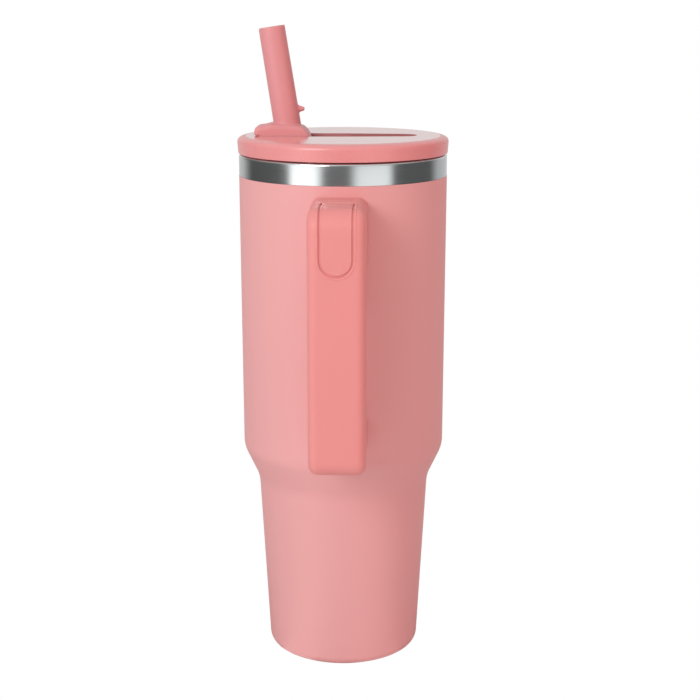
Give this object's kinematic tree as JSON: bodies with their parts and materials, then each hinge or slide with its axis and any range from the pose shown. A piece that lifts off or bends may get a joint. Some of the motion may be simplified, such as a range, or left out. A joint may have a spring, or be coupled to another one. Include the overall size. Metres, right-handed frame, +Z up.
{
  "type": "insulated tumbler with lid",
  "caption": "Tall insulated steel tumbler with a narrow base, a D handle, a push-in lid, a flip spout on a hinge barrel and an inner straw.",
  "frame": {"origin": "centre of the foot pad's underside", "axes": "+Z up along the body's axis, the handle to -Y, the spout's hinge to -X, the lid's groove to +X"},
  "size_m": [0.1012, 0.1426, 0.3099],
  "materials": {
    "powder_coat": "matte light pink powder coat",
    "brushed_steel": "bare steel brushed around the band",
    "zinc_plated": "plain bright steel screws, brackets and pins",
    "moulded_pink": "satin moulded plastic, darker pink",
    "glossy_pink": "glossy top face and satin rim",
    "silicone": "translucent pale silicone",
    "foot_silicone": "soft matte foot pad",
    "clear_straw": "clear plastic"
  },
  "bodies": {
    "cup": {"powder_coat": "powder_coat", "outer_shell": "brushed_steel", "inner_shell": "brushed_steel", "outer_base": "brushed_steel", "vacuum_cap": "zinc_plated", "getter": "zinc_plated", "base_pad": "foot_silicone", "handle": "moulded_pink", "handle_inset": "moulded_pink", "upper_bracket": "zinc_plated", "lower_bracket": "zinc_plated", "upper_screw": "zinc_plated", "lower_screw": "zinc_plated"},
    "gasket": {"lid_gasket": "silicone"},
    "lid": {"lid_top": "glossy_pink", "lid_plug": "moulded_pink", "spout_pin_front": "zinc_plated", "spout_pin_rear": "zinc_plated", "spout_seal": "silicone", "vent_valve": "silicone", "straw_socket": "silicone", "straw": "clear_straw", "lid_screw_inner": "zinc_plated", "lid_screw_outer": "zinc_plated"},
    "spout": {"spout": "moulded_pink"}
  },
  "joints": [
    {"name": "lid_lift", "type": "slide", "parent": "cup", "child": "gasket", "axis": [0, 0, 1], "range_m": [0, 0.26]},
    {"name": "lid_turn", "type": "hinge", "parent": "gasket", "child": "lid", "pos_m": [0, 0, 0.25], "axis": [0, 0, 1], "continuous": true},
    {"name": "spout_flip", "type": "hinge", "parent": "lid", "child": "spout", "pos_m": [-0.0275, 0, 0.2527], "axis": [0, 1, 0], "range_deg": [0, 98.83]}
  ]
}
